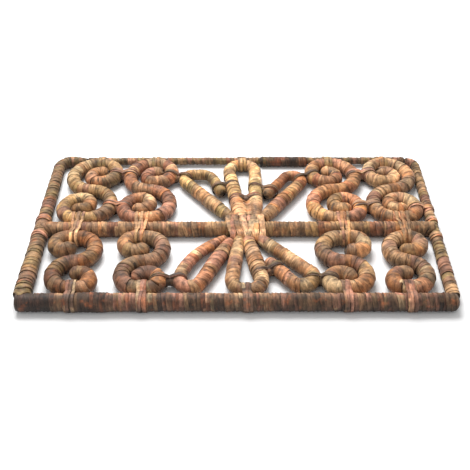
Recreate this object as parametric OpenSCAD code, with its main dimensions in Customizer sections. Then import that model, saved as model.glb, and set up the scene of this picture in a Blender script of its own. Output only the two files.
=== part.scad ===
// Openwork door mat of bound rope: a frame with a middle bar, eight scrolls in two rows and a
// six-petal flower at the centre, all lashed together where the ropes touch.
// Origin: middle of the underside. +X runs along the long side, +Y to the back, +Z up.

/* [Mat] */
// Length of the mat, side to side
mat_w = 750; // [748:0.5:752]
// Depth of the mat, front to back
mat_d = 450; // [449:0.5:452]
// Distance from the front of the mat to the middle of its middle rope
mid_from_front = 212; // [211:0.5:213]

/* [Frame ropes] */
// Diameter of the front rope
front_dia = 31; // [30:0.5:32]
// Diameter of the middle rope
mid_dia = 28.4; // [27.4:0.1:29.4]
// Diameter of the back rope
back_dia = 15; // [14.5:0.1:15.5]
// Diameter of the left side rope at its front end
left_front_dia = 30.6; // [29:0.2:31]
// Diameter of the left side rope at its back end
left_back_dia = 23; // [22:0.2:24]
// Diameter of the right side rope at its front end
right_front_dia = 23.6; // [22:0.2:24]
// Diameter of the right side rope at its back end
right_back_dia = 17; // [16:0.2:18]
// How much the front and middle ropes are worn flat underneath
flat_depth = 0.6; // [0.3:0.1:1]

/* [Pattern ropes] */
// Diameter of the scroll ropes in the upper row
upper_scroll_dia = 27; // [26:0.1:27]
// Diameter of the scroll ropes in the lower row
lower_scroll_dia = 29; // [28:0.1:29]
// Diameter of the petal ropes
petal_dia = 25; // [24:0.1:25]
// Thickness of the binding that is wound round every rope
wrap_t = 4; // [3:0.2:4.6]

/* [Lashings] */
// Width of one lashing along the rope
tie_w = 9; // [7:0.5:10]
// Thickness of a lashing
tie_t = 1.6; // [1.4:0.1:1.8]
// How deep a lashing bites into a frame rope
tie_bite = 1.4; // [1:0.1:1.4]

/* [Hidden] */
$fn = 64;

core_tint = "burlywood";
frame_tint = "sienna";
scroll_tint = "peru";
petal_tint = "sandybrown";
tie_tint = "saddlebrown";
splice_tint = "#4a3a2c";

gap = 0.4;           // clearance between ropes that lie side by side
seam = 0.3;          // clearance where the end of one rope meets the side of another
lift = 0.2;          // clearance under a rope or a lashing that doesn't rest on the ground
proud = tie_t - tie_bite;

front_r = front_dia / 2;
mid_r = mid_dia / 2;
back_r = back_dia / 2;
upper_r = upper_scroll_dia / 2;
lower_r = lower_scroll_dia / 2;
petal_r = petal_dia / 2;

// The splices are short sleeves that swell the front and the back rope.
splice_t = 1.2;
front_splice_x = [-268, -212];
back_splice_x = [48, 146];
back_splice_r = 10.2;
back_splice_wall = 0.5;

front_y = -mat_d / 2 + front_r + splice_t;
front_z = front_r - flat_depth;
mid_y = -mat_d / 2 + mid_from_front;
mid_z = mid_r - flat_depth;
back_splice_y = mat_d / 2 - back_splice_r;
back_y = back_splice_y + back_splice_r - back_r - back_splice_wall;
back_z = back_splice_r + lift;

function core_r(r) = r - wrap_t;
function pattern_z(r) = r + tie_t + lift;

// ---- Rope routes -------------------------------------------------------------------------
// A route starts at a pose [x, y, heading] and is a list of moves. [radius, turn] is an arc
// that turns left when turn is positive, and [length, 0] is a straight run.
function next_pose(p, m) =
    m[1] == 0
    ? [p.x + m[0] * cos(p[2]), p.y + m[0] * sin(p[2]), p[2]]
    : let (s = sign(m[1]), h = p[2], e = p[2] + m[1])
      [p.x + s * m[0] * (sin(e) - sin(h)), p.y - s * m[0] * (cos(e) - cos(h)), e];
function pose_after(p, moves, n) =
    n == 0 ? p : next_pose(pose_after(p, moves, n - 1), moves[n - 1]);
function last_pose(p, moves) = pose_after(p, moves, len(moves));
function turned_back(p) = [p.x, p.y, p[2] + 180];

// Rope section: a ring, or a full disc when r_in is 0.
module section(r_out, r_in) {
    difference() {
        circle(r_out);
        if (r_in > 0) circle(r_in);
    }
}

// Turns children that are drawn along +Z so that they run along the heading of a pose.
module at_pose(p, z) {
    translate([p.x, p.y, z]) rotate([0, 0, p[2]]) rotate([90, 0, 90]) children();
}

module run(p, m, z, r_out, r_in) {
    if (m[1] == 0) {
        at_pose(p, z) linear_extrude(m[0]) section(r_out, r_in);
    } else {
        side = sign(m[1]);
        first = side > 0 ? p[2] - 90 : p[2] + 90 + m[1];
        translate([p.x - side * m[0] * sin(p[2]), p.y + side * m[0] * cos(p[2]), z])
            rotate([0, 0, first])
                rotate_extrude(angle = abs(m[1]))
                    translate([m[0], 0]) section(r_out, r_in);
    }
}

// Every second run of a route is a hair thinner and reaches a little way into its
// neighbours, so that the runs join as one solid.
hair = 0.05;
reach = 0.5;
function is_thin(i) = i % 2 == 1;
function run_r(i, r) = is_thin(i) ? r - hair : r;
function bore_r(i, r) = r > 0 && is_thin(i) ? r + hair : r;

// The pose that lies a distance back from p on the line of move m, and m grown by a length.
function pose_before(p, m, back) =
    m[1] == 0
    ? [p.x - back * cos(p[2]), p.y - back * sin(p[2]), p[2]]
    : let (s = sign(m[1]), h = p[2], e = h - s * back / m[0] * 180 / PI)
      [p.x + s * m[0] * (sin(e) - sin(h)), p.y - s * m[0] * (cos(e) - cos(h)), e];
function grown(m, by) =
    m[1] == 0 ? [m[0] + by, 0] : [m[0], m[1] + sign(m[1]) * by / m[0] * 180 / PI];

// The first move counts as number first, which decides whether it is a thin one.
module route(p, moves, z, r_out, r_in, first = 0) {
    for (i = [0 : len(moves) - 1]) {
        at = pose_after(p, moves, i);
        thin = is_thin(i + first);
        before = thin ? reach : 0;
        after = thin && i < len(moves) - 1 ? reach : 0;
        run(pose_before(at, moves[i], before), grown(moves[i], before + after), z,
            run_r(i + first, r_out), bore_r(i + first, r_in));
    }
}

// Closed end of a binding: a disc with an edge of radius edge, a half ball when edge is r.
module end_cap(p, z, r, edge) {
    at_pose(p, z)
        rotate_extrude()
            union() {
                if (edge < r) square([r - edge, edge]);
                translate([r - edge, 0]) intersection() {
                    circle(edge);
                    square(edge);
                }
            }
}

// Round end of a bound rope: a half ball whose rim reaches into the binding.
module round_end(p, z, r, r_in) {
    at_pose(p, z)
        rotate_extrude()
            union() {
                translate([r_in + hair, -reach]) square([r - r_in - 3 * hair, 2 * reach]);
                translate([0, hair]) intersection() {
                    circle(r - hair);
                    square(r);
                }
            }
}

// A leg that is drawn in to a narrow end, hollow or, when r_in is 0, full.
module tapered_end(p, z, length, r_out, r_in, ratio) {
    at_pose(p, z) translate([0, 0, -reach])
        difference() {
            cylinder(h = length + reach, r1 = r_out - hair, r2 = r_out * ratio);
            if (r_in > 0) cylinder(h = length + reach, r1 = r_in + hair, r2 = r_in * ratio);
        }
}

// ---- Frame -------------------------------------------------------------------------------
// A frame rope along X that is worn flat where it rests on the ground.
module resting_bar(x0, x1, y, z, r_out, r_in) {
    difference() {
        translate([x0, y, z]) rotate([90, 0, 90]) linear_extrude(x1 - x0) section(r_out, r_in);
        translate([x0 - 1, y - 2 * r_out, -10]) cube([x1 - x0 + 2, 4 * r_out, 10]);
    }
}

// Shallow seats for the lashings round a rope along X: seats are [middle, width].
module seats(list, y, z, r) {
    for (s = list)
        translate([s[0] - s[1] / 2, y, z]) rotate([90, 0, 90])
            linear_extrude(s[1]) section(r + 2, r - tie_bite);
}

// The front rope stops a little short of the outer faces of the side ropes.
front_left_edge = 6;
front_right_edge = 11;
front_left_end = -mat_w / 2 + 8 + front_left_edge;
front_right_end = mat_w / 2 - 6 - front_right_edge;

module front_bar_core() {
    color(core_tint)
        resting_bar(front_left_end, front_right_end, front_y, front_z, core_r(front_r), 0);
}

module front_bar_wrap() {
    color(frame_tint)
        difference() {
            union() {
                resting_bar(front_left_end, front_right_end, front_y, front_z,
                            front_r, core_r(front_r));
                difference() {
                    union() {
                        end_cap([front_right_end, front_y, 0], front_z, front_r, front_right_edge);
                        end_cap([front_left_end, front_y, 180], front_z, front_r, front_left_edge);
                    }
                    translate([-mat_w, front_y - front_r, -10]) cube([2 * mat_w, front_dia, 10]);
                }
            }
            seats(FRONT_TIES, front_y, front_z, front_r);
        }
}

// The side ropes are thicker at the front. Each is [outer face, side, front radius, back
// radius, corner radius], where side is -1 on the left.
LEFT_SIDE = [-mat_w / 2 + proud, -1, left_front_dia / 2, left_back_dia / 2, 26];
RIGHT_SIDE = [mat_w / 2 - proud, 1, right_front_dia / 2, right_back_dia / 2, 20];
side_front = front_y + front_r + seam;
back_face = mat_d / 2 - proud;

function side_back(s) = back_face - s[3] - s[4];
// Radius of a side rope at a given y, and the x of its middle there.
function side_r(s, y) =
    s[2] + (s[3] - s[2]) * (y - side_front) / (side_back(s) - side_front);
function side_x(s, y) = s[0] - s[1] * side_r(s, y);

module side_run(s, thinner) {
    from = [side_x(s, side_front), side_front, s[2] + lift];
    to = [side_x(s, side_back(s)), side_back(s), s[3] + lift];
    step = to - from;
    translate(from)
        rotate([0, acos(step.z / norm(step)), atan2(step.y, step.x)])
            cylinder(h = norm(step), r1 = s[2] - thinner, r2 = s[3] - thinner);
}

module side_corner(s, thinner) {
    start = [side_x(s, side_back(s)), side_back(s), 90];
    run(start, [s[4], s[1] * 90], s[3] + lift, s[3] - thinner, 0);
}

// The corner ends in a short cone that brings the left rope down to the size of the back one.
left_cone = 30;
function corner_end(s) = s[0] - s[1] * (s[3] + s[4]);
module corner_cone(s, length, thinner) {
    translate([corner_end(s), back_face - s[3], s[3] + lift]) rotate([0, -s[1] * 90, 0])
        cylinder(h = length, r1 = s[3] - thinner, r2 = back_r + 0.5 - thinner);
}

module side_rope(s, thinner) {
    side_run(s, thinner);
    side_corner(s, thinner);
}

module left_side_core() {
    color(core_tint) {
        side_rope(LEFT_SIDE, wrap_t);
        corner_cone(LEFT_SIDE, left_cone, wrap_t);
    }
}
module left_side_wrap() {
    color(frame_tint)
        difference() {
            union() {
                side_rope(LEFT_SIDE, 0);
                corner_cone(LEFT_SIDE, left_cone, 0);
            }
            side_rope(LEFT_SIDE, wrap_t);
            corner_cone(LEFT_SIDE, left_cone, wrap_t);
            side_seats(LEFT_SIDE, SIDE_TIE_Y);
        }
}
module right_side_core() { color(core_tint) side_rope(RIGHT_SIDE, wrap_t); }
module right_side_wrap() {
    color(frame_tint)
        difference() {
            side_rope(RIGHT_SIDE, 0);
            side_rope(RIGHT_SIDE, wrap_t);
            side_seats(RIGHT_SIDE, concat(SIDE_TIE_Y, [corner_scroll_tie_y]));
        }
}

// Seats round a side rope for the lashings centred at the given places along it.
module side_seats(s, places) {
    for (y = places)
        at_pose([side_x(s, y), y - tie_w / 2, 90], side_r(s, y) + lift)
            linear_extrude(tie_w) section(side_r(s, y) + 3, side_r(s, y) - tie_bite);
}

mid_left_end = side_x(LEFT_SIDE, mid_y) + side_r(LEFT_SIDE, mid_y) + seam;
mid_right_end = side_x(RIGHT_SIDE, mid_y) - side_r(RIGHT_SIDE, mid_y) - seam;

module middle_bar_core() {
    color(core_tint) resting_bar(mid_left_end, mid_right_end, mid_y, mid_z, core_r(mid_r), 0);
}
module middle_bar_wrap() {
    color(frame_tint)
        difference() {
            resting_bar(mid_left_end, mid_right_end, mid_y, mid_z, mid_r, core_r(mid_r));
            seats(concat(MIDDLE_TIES, [flower_band]), mid_y, mid_z, mid_r);
        }
}

back_left_end = corner_end(LEFT_SIDE) + left_cone + seam;
back_right_end = corner_end(RIGHT_SIDE) - seam;

module back_bar_core() {
    color(core_tint)
        resting_bar(back_left_end, back_right_end, back_y, back_z, core_r(back_r), 0);
}
module back_bar_wrap() {
    color(frame_tint)
        difference() {
            resting_bar(back_left_end, back_right_end, back_y, back_z, back_r, core_r(back_r));
            seats(BACK_TIES, back_y, back_z, back_r);
        }
}

module front_splice() {
    color(splice_tint)
        resting_bar(front_splice_x[0], front_splice_x[1], front_y, front_z,
                    front_r + splice_t, front_r);
}
module back_splice() {
    color(splice_tint)
        translate([back_splice_x[0], 0, 0]) rotate([90, 0, 90])
            linear_extrude(back_splice_x[1] - back_splice_x[0])
                difference() {
                    translate([back_splice_y, back_z]) circle(back_splice_r);
                    translate([back_y, back_z]) circle(back_r);
                }
}

// ---- Scrolls -----------------------------------------------------------------------------
// A scroll is an S in two halves that start at its middle. A half is [spine, flat, sweep,
// hook]: half the length of the straight spine, the straight run along the bar, the sweep of
// the inner curl, and the sweep of the hook at its heart.
// Each scroll is [x of its middle, hand, lean, upper half, lower half]. Hand 1 is the letter
// S, -1 its mirror image, and lean is how far the spine turns from level.
UPPER_SCROLLS = [
    [-284, 1, 6, [2, 8, 180, 190], [2, 12, 180, 190]],
    [-171, 1, 6, [2, 6, 180, 190], [2, 10, 180, 190]],
    [190, -1, 6, [4, 8, 180, 180], [4, 12, 180, 190]],
    [303, -1, 14, [6, 2, 180, 190], [8, 3, 180, 190]]
];
LOWER_SCROLLS = [
    [-286, -1, 8, [4, 20, 80, 140], [2, 12, 190, 0]],
    [-165, -1, 6, [3, 16, 220, 0], [3, 12, 230, 0]],
    [189, 1, 4, [4, 22, 190, 0], [4, 12, 230, 0]],
    [300, 1, 18, [4, 3, 200, 0], [4, 6, 190, 0]]
];
upper_row = [mid_y + mid_r, back_y - back_r];
lower_row = [front_y + front_r, mid_y - mid_r];
upper_hook_r = 17;
lower_hook_r = 15.5;

function half_height(row) = (row[1] - row[0]) / 2;
// Radius of the outer curl, so that a half reaches from the middle of its row to the bar.
function outer_curl(row, r, lean, spine) =
    (half_height(row) - r - gap - spine * sin(lean)) / (1 + cos(lean));
// Radius of the inner curl, which lies one rope inside the outer one.
function inner_curl(row, r) = (half_height(row) - 3 * r - 2 * gap) / 2;

function spine_end(lean, spine) = [-spine * cos(lean), spine * sin(lean), 180 - lean];
function half_moves(row, r, hook_r, lean, half) = concat(
    [[outer_curl(row, r, lean, half[0]), lean - 180], [half[1], 0]],
    [[inner_curl(row, r), -half[2]]],
    half[3] > 0 ? [[hook_r, -half[3]]] : []
);

module half_scroll(start, moves, r, thinner) {
    last = len(moves);
    route(start, moves, 0, r - thinner, thinner > 0 ? 0 : core_r(r), 1);
    if (thinner == 0)
        round_end(last_pose(start, moves), 0, run_r(last, r), bore_r(last, core_r(r)));
}

module scroll(s, row, r, hook_r, thinner) {
    translate([s[0], (row[0] + row[1]) / 2, pattern_z(r)])
        mirror([s[1] < 0 ? 1 : 0, 0, 0]) {
            run(spine_end(s[2], -s[4][0]), [s[3][0] + s[4][0], 0], 0, r - thinner,
                thinner > 0 ? 0 : core_r(r));
            half_scroll(spine_end(s[2], s[3][0]),
                        half_moves(row, r, hook_r, s[2], s[3]), r, thinner);
            rotate([0, 0, 180])
                half_scroll(spine_end(s[2], s[4][0]),
                            half_moves(row, r, hook_r, s[2], s[4]), r, thinner);
        }
}

module scroll_core(s, row, r, hook_r) { color(core_tint) scroll(s, row, r, hook_r, wrap_t); }
module scroll_wrap(s, row, r, hook_r) { color(scroll_tint) scroll(s, row, r, hook_r, 0); }
module upper_scroll_1_core() { scroll_core(UPPER_SCROLLS[0], upper_row, upper_r, upper_hook_r); }
module upper_scroll_1_wrap() { scroll_wrap(UPPER_SCROLLS[0], upper_row, upper_r, upper_hook_r); }
module upper_scroll_2_core() { scroll_core(UPPER_SCROLLS[1], upper_row, upper_r, upper_hook_r); }
module upper_scroll_2_wrap() { scroll_wrap(UPPER_SCROLLS[1], upper_row, upper_r, upper_hook_r); }
module upper_scroll_3_core() { scroll_core(UPPER_SCROLLS[2], upper_row, upper_r, upper_hook_r); }
module upper_scroll_3_wrap() { scroll_wrap(UPPER_SCROLLS[2], upper_row, upper_r, upper_hook_r); }
module upper_scroll_4_core() { scroll_core(UPPER_SCROLLS[3], upper_row, upper_r, upper_hook_r); }
module upper_scroll_4_wrap() { scroll_wrap(UPPER_SCROLLS[3], upper_row, upper_r, upper_hook_r); }
module lower_scroll_1_core() { scroll_core(LOWER_SCROLLS[0], lower_row, lower_r, lower_hook_r); }
module lower_scroll_1_wrap() { scroll_wrap(LOWER_SCROLLS[0], lower_row, lower_r, lower_hook_r); }
module lower_scroll_2_core() { scroll_core(LOWER_SCROLLS[1], lower_row, lower_r, lower_hook_r); }
module lower_scroll_2_wrap() { scroll_wrap(LOWER_SCROLLS[1], lower_row, lower_r, lower_hook_r); }
module lower_scroll_3_core() { scroll_core(LOWER_SCROLLS[2], lower_row, lower_r, lower_hook_r); }
module lower_scroll_3_wrap() { scroll_wrap(LOWER_SCROLLS[2], lower_row, lower_r, lower_hook_r); }
module lower_scroll_4_core() { scroll_core(LOWER_SCROLLS[3], lower_row, lower_r, lower_hook_r); }
module lower_scroll_4_wrap() { scroll_wrap(LOWER_SCROLLS[3], lower_row, lower_r, lower_hook_r); }

// x of the place where one half of a scroll touches its bar: side 1 is the upper half.
function contact_x(s, row, r, side) =
    let (half = side > 0 ? s[3] : s[4],
         p = last_pose(spine_end(s[2], half[0]),
                       [[outer_curl(row, r, s[2], half[0]), s[2] - 180]]))
    s[0] + s[1] * side * (p.x + half[1] / 2);
function upper_contact(i, side) = contact_x(UPPER_SCROLLS[i], upper_row, upper_r, side);
function lower_contact(i, side) = contact_x(LOWER_SCROLLS[i], lower_row, lower_r, side);

// ---- Petals ------------------------------------------------------------------------------
// Each petal is [start pose, moves, taper at the start, taper at the end]. A taper is the
// length over which a leg narrows to its root, and 0 is a round end.
root_ratio = 0.7;
UPPER_MIDDLE = [[2.3, 50.5, 98.4], [[117.5, 0], [26, -188.7], [118.9, 0]], 34, 34];
UPPER_LEFT = [[-31.9, 45.8, 128.2], [[110.7, 0], [17.5, -123], [14, 0], [27, -75], [40, 0]], 32, 0];
UPPER_RIGHT = [[63.2, 37.5, 56], [[109.8, 0], [18.4, 182.6], [59.8, 0]], 14, 0];
LOWER_MIDDLE = [[-0.6, -90.3, 263.7], [[61.8, 0], [25.4, 198], [63.3, 0]], 40, 38];
LOWER_LEFT = [[-44.1, -60.1, 217.6], [[145, 41.6], [19.6, 166.5], [82.6, 0]], 20, 24];
LOWER_RIGHT = [[53.3, -54.5, 313.2], [[108, 0], [20.4, -187], [53.3, 0]], 22, 0];
petal_z = pattern_z(petal_r);

module petal(q, thinner) {
    r_out = petal_r - thinner;
    r_in = thinner > 0 ? 0 : core_r(petal_r);
    route(q[0], q[1], petal_z, r_out, r_in);
    petal_end(turned_back(q[0]), q[2], r_out, r_in);
    petal_end(last_pose(q[0], q[1]), q[3], r_out, r_in);
}
module petal_end(p, taper, r_out, r_in) {
    if (taper > 0) tapered_end(p, petal_z, taper, r_out, r_in, root_ratio);
    else if (r_in > 0) round_end(p, petal_z, r_out, r_in);
}
module petal_core(q) { color(core_tint) petal(q, wrap_t); }
module petal_wrap(q) { color(petal_tint) petal(q, 0); }
module upper_left_petal_core() { petal_core(UPPER_LEFT); }
module upper_left_petal_wrap() { petal_wrap(UPPER_LEFT); }
module upper_middle_petal_core() { petal_core(UPPER_MIDDLE); }
module upper_middle_petal_wrap() { petal_wrap(UPPER_MIDDLE); }
module upper_right_petal_core() { petal_core(UPPER_RIGHT); }
module upper_right_petal_wrap() { petal_wrap(UPPER_RIGHT); }
module lower_left_petal_core() { petal_core(LOWER_LEFT); }
module lower_left_petal_wrap() { petal_wrap(LOWER_LEFT); }
module lower_middle_petal_core() { petal_core(LOWER_MIDDLE); }
module lower_middle_petal_wrap() { petal_wrap(LOWER_MIDDLE); }
module lower_right_petal_core() { petal_core(LOWER_RIGHT); }
module lower_right_petal_wrap() { petal_wrap(LOWER_RIGHT); }

// ---- Lashings ----------------------------------------------------------------------------
// The outline of a band drawn tight round ropes that are cut across: each rope is a circle
// [across, z, radius], and grow is the thickness of the band. It never goes below the ground.
band_steps = 48;
function farthest(c, u) =
    let (reach = [for (k = c) k.x * u.x + k.y * u.y + k[2]])
    c[search(max(reach), reach)[0]];
function band(c, grow) = [
    for (i = [0 : band_steps - 1])
        let (u = [cos(360 * i / band_steps), sin(360 * i / band_steps)],
             k = farthest(c, u), p = [k.x, k.y] + u * (k[2] + grow))
        [p.x, max(p.y, 0)]
];

// A lashing at [x, y], tie_w wide along the heading. Circles are placed to its left.
module lashing(at, heading, circles, width = tie_w) {
    translate([at.x, at.y, 0]) rotate([0, 0, heading]) translate([-width / 2, 0, 0])
        rotate([90, 0, 90]) linear_extrude(width)
            difference() {
                polygon(band(circles, tie_t));
                polygon(band(circles, 0));
            }
}

// Room that a lashing leaves round a curved rope, and the circle of a rope inside it.
ease = 0.6;
function scroll_circle(across, r) = [across, pattern_z(r), r + ease];
function bar_circle(z, r) = [0, z, r - tie_bite];

BACK_X = concat([for (i = [0 : 3]) upper_contact(i, 1)], [petal_contact(UPPER_MIDDLE)]);
BACK_TIES = [for (x = BACK_X) [x, tie_w]];
MIDDLE_X = [for (i = [0 : 3]) (upper_contact(i, -1) + lower_contact(i, 1)) / 2];
MIDDLE_TIES = [for (x = MIDDLE_X) [x, tie_w]];
FRONT_X = concat([for (i = [0 : 3]) lower_contact(i, -1)], [petal_contact(LOWER_MIDDLE)]);
FRONT_TIES = [for (x = FRONT_X) [x, tie_w]];
flower_band = [7, 78];

// x of the tip of a middle petal, half way round its arc.
function petal_contact(q) =
    let (side = sign(q[1][1][1]), p = pose_after(q[0], q[1], 1))
    p.x - side * q[1][1][0] * sin(p[2]);

module back_bar_ties() {
    color(tie_tint)
        for (i = [0 : 4]) {
            r = i < 4 ? upper_r : petal_r;
            lashing([BACK_X[i], back_y], 0,
                    [bar_circle(back_z, back_r), scroll_circle(-back_r - gap - r, r)]);
        }
}
module middle_bar_ties() {
    color(tie_tint)
        for (x = MIDDLE_X)
            lashing([x, mid_y], 0, [
                bar_circle(mid_z, mid_r),
                scroll_circle(mid_r + gap + upper_r, upper_r),
                scroll_circle(-mid_r - gap - lower_r, lower_r)
            ]);
}
module front_bar_ties() {
    color(tie_tint)
        for (i = [0 : 4]) {
            r = i < 4 ? lower_r : petal_r;
            lashing([FRONT_X[i], front_y], 0,
                    [bar_circle(front_z, front_r), scroll_circle(front_r + gap + r, r)]);
        }
}

// The curls of a scroll as [x, y, path radius, rope radius]: side 1 is the upper half.
function placed(s, row, side, p) = [s[0] + s[1] * side * p.x, (row[0] + row[1]) / 2 + side * p.y];
function outer_circle(s, row, r, side) =
    let (half = side > 0 ? s[3] : s[4], lean = s[2], curl = outer_curl(row, r, lean, half[0]),
         c = placed(s, row, side, [curl * sin(lean) - half[0] * cos(lean),
                                   curl * cos(lean) + half[0] * sin(lean)]))
    [c.x, c.y, curl, r];
function inner_circle(s, row, r, side) =
    let (half = side > 0 ? s[3] : s[4],
         x = s[1] * side * (contact_x(s, row, r, side) - s[0]) + half[1] / 2,
         y = half_height(row) - r - gap - inner_curl(row, r),
         c = placed(s, row, side, [x, y]))
    [c.x, c.y, inner_curl(row, r), r];
// The arc that is the n-th move of a petal, in the same form.
function petal_circle(q, n) =
    let (p = pose_after(q[0], q[1], n), m = q[1][n], side = sign(m[1]))
    [p.x - side * m[0] * sin(p[2]), p.y + side * m[0] * cos(p[2]), m[0], petal_r];

module curl_lashing(a, b, width = tie_w) {
    step = [b.x - a.x, b.y - a.y];
    lashing([a.x, a.y] + step * a[2] / norm(step), atan2(step.y, step.x) - 90,
            [scroll_circle(0, a[3]), scroll_circle(norm(step) - a[2] - b[2], b[3])], width);
}

module scroll_pair_ties() {
    color(tie_tint)
        for (i = [0, 2]) {
            a = UPPER_SCROLLS[i];
            b = UPPER_SCROLLS[i + 1];
            for (side = [1, -1])
                if (a[1] * side > 0)
                    curl_lashing(inner_circle(a, upper_row, upper_r, side),
                                 outer_circle(b, upper_row, upper_r, side));
                else
                    curl_lashing(outer_circle(a, upper_row, upper_r, side),
                                 inner_circle(b, upper_row, upper_r, side));
        }
}

// Ties the side of a short leg, at pose p, to the straight leg that starts at pose leg. The
// lashing's heading is half way between theirs, and room is what their slant takes up.
function cross_z(a, b) = a.x * b.y - a.y * b.x;
function half_turn(from, to) = (((to - from + 90) % 180 + 180) % 180 - 90) / 2;
module leg_lashing(p, leg) {
    slant = half_turn(p[2], leg[2]);
    heading = p[2] + slant;
    along = [cos(leg[2]), sin(leg[2])];
    left = [-sin(heading), cos(heading)];
    across = cross_z([leg.x - p.x, leg.y - p.y], along) / cross_z(left, along);
    room = sign(across) * (petal_r * (1 / cos(slant) - 1) + tie_w / 2 * tan(abs(slant)));
    lashing([p.x, p.y], heading,
            [scroll_circle(-room, petal_r), scroll_circle(across + room, petal_r)]);
}
// A pose a little before the end of a petal's last, straight move.
function near_end(q) = next_pose(last_pose(q[0], q[1]), [-tie_w, 0]);
function last_leg(q) = pose_after(q[0], q[1], len(q[1]) - 1);

// A lashing that passes through the narrow tip of a petal.
tip_tie_w = 5;

module petal_ties() {
    color(tie_tint) {
        curl_lashing(inner_circle(UPPER_SCROLLS[1], upper_row, upper_r, 1),
                     petal_circle(UPPER_LEFT, 1), tip_tie_w);
        curl_lashing(petal_circle(UPPER_RIGHT, 1),
                     inner_circle(UPPER_SCROLLS[2], upper_row, upper_r, 1), tip_tie_w);
        curl_lashing(inner_circle(LOWER_SCROLLS[1], lower_row, lower_r, -1),
                     petal_circle(LOWER_LEFT, 1), tip_tie_w);
        curl_lashing(petal_circle(LOWER_RIGHT, 1),
                     inner_circle(LOWER_SCROLLS[2], lower_row, lower_r, -1), tip_tie_w);
        leg_lashing(near_end(UPPER_LEFT), UPPER_MIDDLE[0]);
        leg_lashing(near_end(UPPER_RIGHT), last_leg(UPPER_MIDDLE));
        leg_lashing(near_end(LOWER_RIGHT), last_leg(LOWER_MIDDLE));
    }
}

// A band round one rope, which sits in a seat of the rope.
module ring(at, heading, z, r, width = tie_w) {
    lashing(at, heading, [[0, z, r - tie_bite]], width);
}

// Distance from the full width of a middle petal's leg to the tie across its slot.
root_tie = 26;

module flower_lashing() {
    color(tie_tint) {
        ring([flower_band[0], mid_y], 0, mid_z, mid_r, flower_band[1]);
        leg_lashing(next_pose(UPPER_MIDDLE[0], [root_tie, 0]), last_leg(UPPER_MIDDLE));
    }
}
corner_scroll = inner_circle(UPPER_SCROLLS[3], upper_row, upper_r, -1);
corner_scroll_tie_y = corner_scroll.y;
SIDE_TIE_Y = [mid_y - mid_r - tie_w, mid_y + mid_r + tie_w];

module side_rope_ties() {
    color(tie_tint) {
        for (s = [LEFT_SIDE, RIGHT_SIDE], y = SIDE_TIE_Y)
            ring([side_x(s, y), y], 90, side_r(s, y) + lift, side_r(s, y));
        side_scroll_tie();
    }
}

// Ties the last scroll of the upper row to the right side rope.
module side_scroll_tie() {
    y = corner_scroll_tie_y;
    edge = corner_scroll.x + corner_scroll[2];
    r = side_r(RIGHT_SIDE, y);
    lashing([edge, y], -90, [
        scroll_circle(0, upper_r),
        [side_x(RIGHT_SIDE, y) - edge, r + lift, r - tie_bite]
    ]);
}

front_bar_core();
front_bar_wrap();
middle_bar_core();
middle_bar_wrap();
back_bar_core();
back_bar_wrap();
left_side_core();
left_side_wrap();
right_side_core();
right_side_wrap();
upper_scroll_1_core();
upper_scroll_1_wrap();
upper_scroll_2_core();
upper_scroll_2_wrap();
upper_scroll_3_core();
upper_scroll_3_wrap();
upper_scroll_4_core();
upper_scroll_4_wrap();
lower_scroll_1_core();
lower_scroll_1_wrap();
lower_scroll_2_core();
lower_scroll_2_wrap();
lower_scroll_3_core();
lower_scroll_3_wrap();
lower_scroll_4_core();
lower_scroll_4_wrap();
upper_left_petal_core();
upper_left_petal_wrap();
upper_middle_petal_core();
upper_middle_petal_wrap();
upper_right_petal_core();
upper_right_petal_wrap();
lower_left_petal_core();
lower_left_petal_wrap();
lower_middle_petal_core();
lower_middle_petal_wrap();
lower_right_petal_core();
lower_right_petal_wrap();
back_bar_ties();
middle_bar_ties();
front_bar_ties();
scroll_pair_ties();
petal_ties();
side_rope_ties();
flower_lashing();
front_splice();
back_splice();
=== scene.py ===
import math

import bpy
import numpy as np
from mathutils import Matrix, Vector


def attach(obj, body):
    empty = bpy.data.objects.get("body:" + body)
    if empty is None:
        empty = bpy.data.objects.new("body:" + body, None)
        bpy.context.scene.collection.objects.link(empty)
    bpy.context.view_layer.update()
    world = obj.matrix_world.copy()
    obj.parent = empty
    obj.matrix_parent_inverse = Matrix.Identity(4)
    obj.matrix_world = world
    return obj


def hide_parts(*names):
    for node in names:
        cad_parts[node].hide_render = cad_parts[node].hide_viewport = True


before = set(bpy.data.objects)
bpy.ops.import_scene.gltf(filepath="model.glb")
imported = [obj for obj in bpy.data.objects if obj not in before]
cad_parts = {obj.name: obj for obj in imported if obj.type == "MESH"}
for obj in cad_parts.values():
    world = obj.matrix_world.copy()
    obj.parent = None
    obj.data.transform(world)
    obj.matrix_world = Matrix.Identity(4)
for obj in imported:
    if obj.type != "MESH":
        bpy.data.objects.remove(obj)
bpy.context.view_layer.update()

# Everything below is worked out in millimetres, in the row frame, and scaled when a mesh is made.
# Texture coordinates are in centimetres.
MM = 0.001
CM = 10.0
BODY = "root"

# ---- The ropes' layout -------------------------------------------------------------------
# Radii, the gap between ropes that meet, how far ropes are lifted clear of what lies under
# them, and the thickness and width of a tie.
FRONT_R, MID_R, BACK_R = 15.5, 14.2, 7.5
UPPER_R, LOWER_R, PETAL_R = 13.5, 14.5, 12.5
GAP, LIFT, TIE_T, TIE_W = 0.4, 0.2, 1.6, 9.0
FRONT_Y, FRONT_Z = -208.3, 14.9
MID_Y, MID_Z = -13.0, 13.6
BACK_Y, BACK_Z = 217.0, 10.4
FRONT_X = (-367.0, 369.0)
SPLICE_T = 1.2
FRONT_SPLICE_X = (-268.0, -212.0)
BACK_SPLICE_X = (48.0, 146.0)
BACK_SPLICE_Y, BACK_SPLICE_R = 214.8, 10.2
ROOT_RATIO, ROOT_EDGE = 0.78, 4.0
# Where a lashing ties the legs of the upper middle petal: the distance up its leg.
ROOT_TIE = 26.0

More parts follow.
